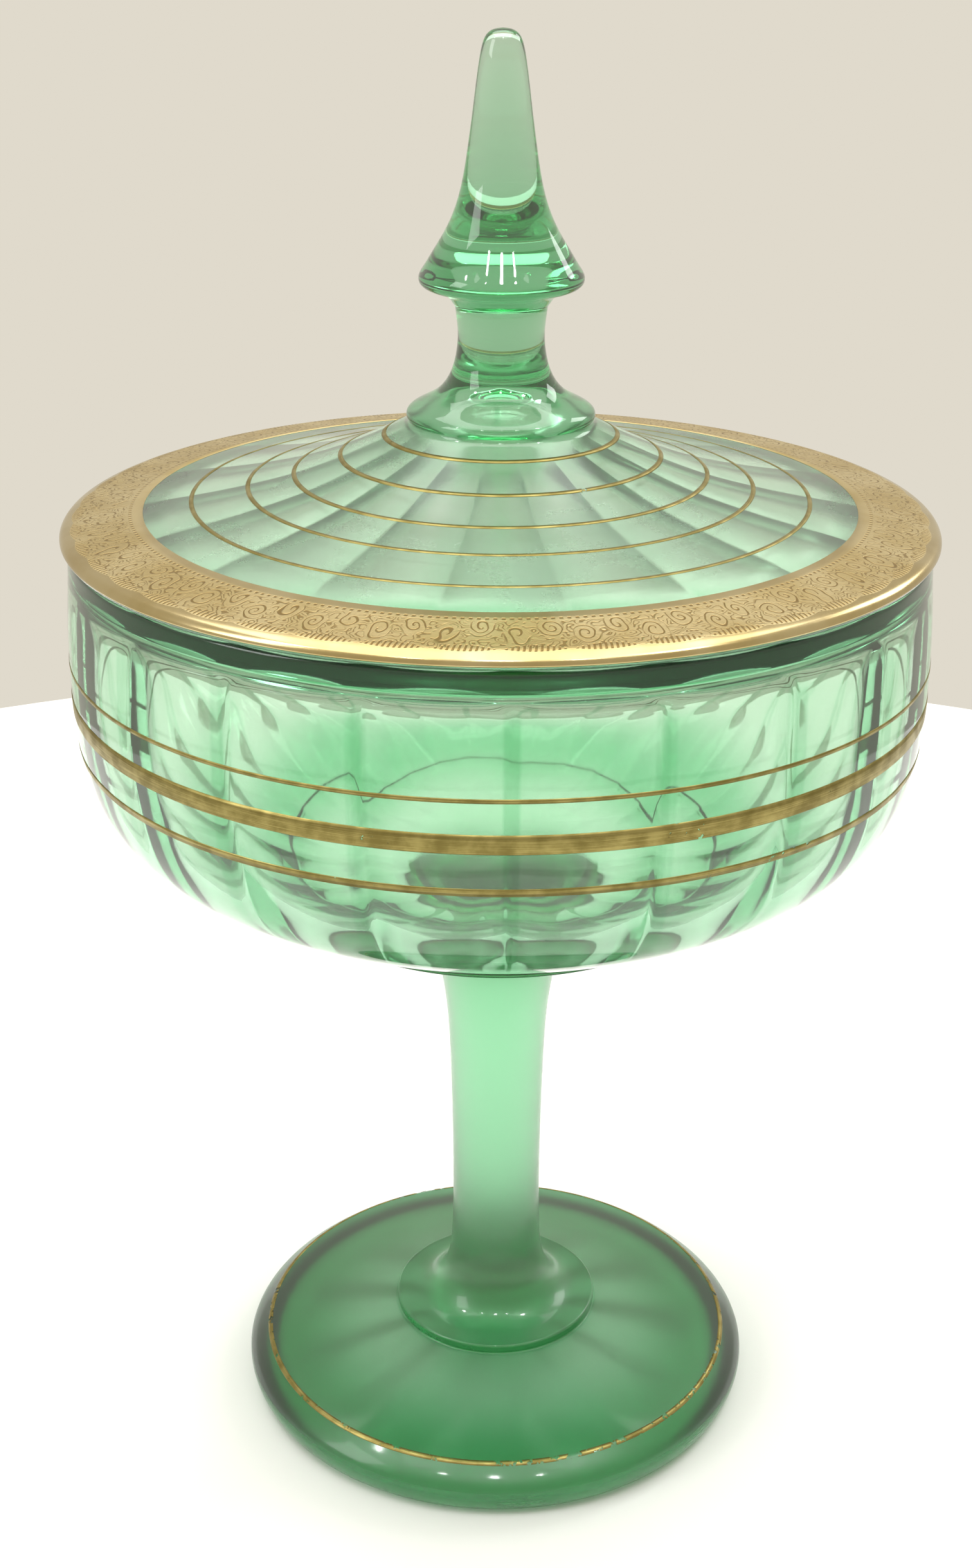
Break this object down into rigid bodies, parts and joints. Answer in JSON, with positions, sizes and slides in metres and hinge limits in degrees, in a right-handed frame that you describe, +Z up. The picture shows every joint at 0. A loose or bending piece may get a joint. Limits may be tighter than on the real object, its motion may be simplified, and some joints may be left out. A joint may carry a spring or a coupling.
{
  "type": "covered candy dish",
  "caption": "Footed green glass bowl on a tall stem, with a lift-off conical lid, a spire finial and fired gold lines.",
  "frame": {"origin": "centre of the foot's resting plane, on the axis that the dish is turned about", "axes": "+Z up along the axis of the stem, bowl, lid and finial; +X and +Y level"},
  "size_m": [0.1536, 0.1534, 0.2603],
  "materials": {
    "green_glass": "clear light green glass, polished",
    "fired_gold": "thin fired gold, slightly worn",
    "etched_gold": "gold fired over fine etched scrolls, polished at the rim"
  },
  "bodies": {
    "base": {"foot": "green_glass", "stem": "green_glass", "bowl": "green_glass", "bowl_gold_ring_upper": "fired_gold", "bowl_gold_band": "fired_gold", "bowl_gold_ring_lower": "fired_gold", "foot_gold_ring": "fired_gold"},
    "lid": {"lid": "green_glass", "finial": "green_glass", "lid_gold_band": "etched_gold", "lid_gold_ring_1": "fired_gold", "lid_gold_ring_2": "fired_gold", "lid_gold_ring_3": "fired_gold", "lid_gold_ring_4": "fired_gold", "lid_gold_ring_5": "fired_gold"}
  },
  "joints": [
    {"name": "lid_lift", "type": "slide", "parent": "base", "child": "lid", "axis": [0, 0, 1], "range_m": [0, 0.09]}
  ]
}
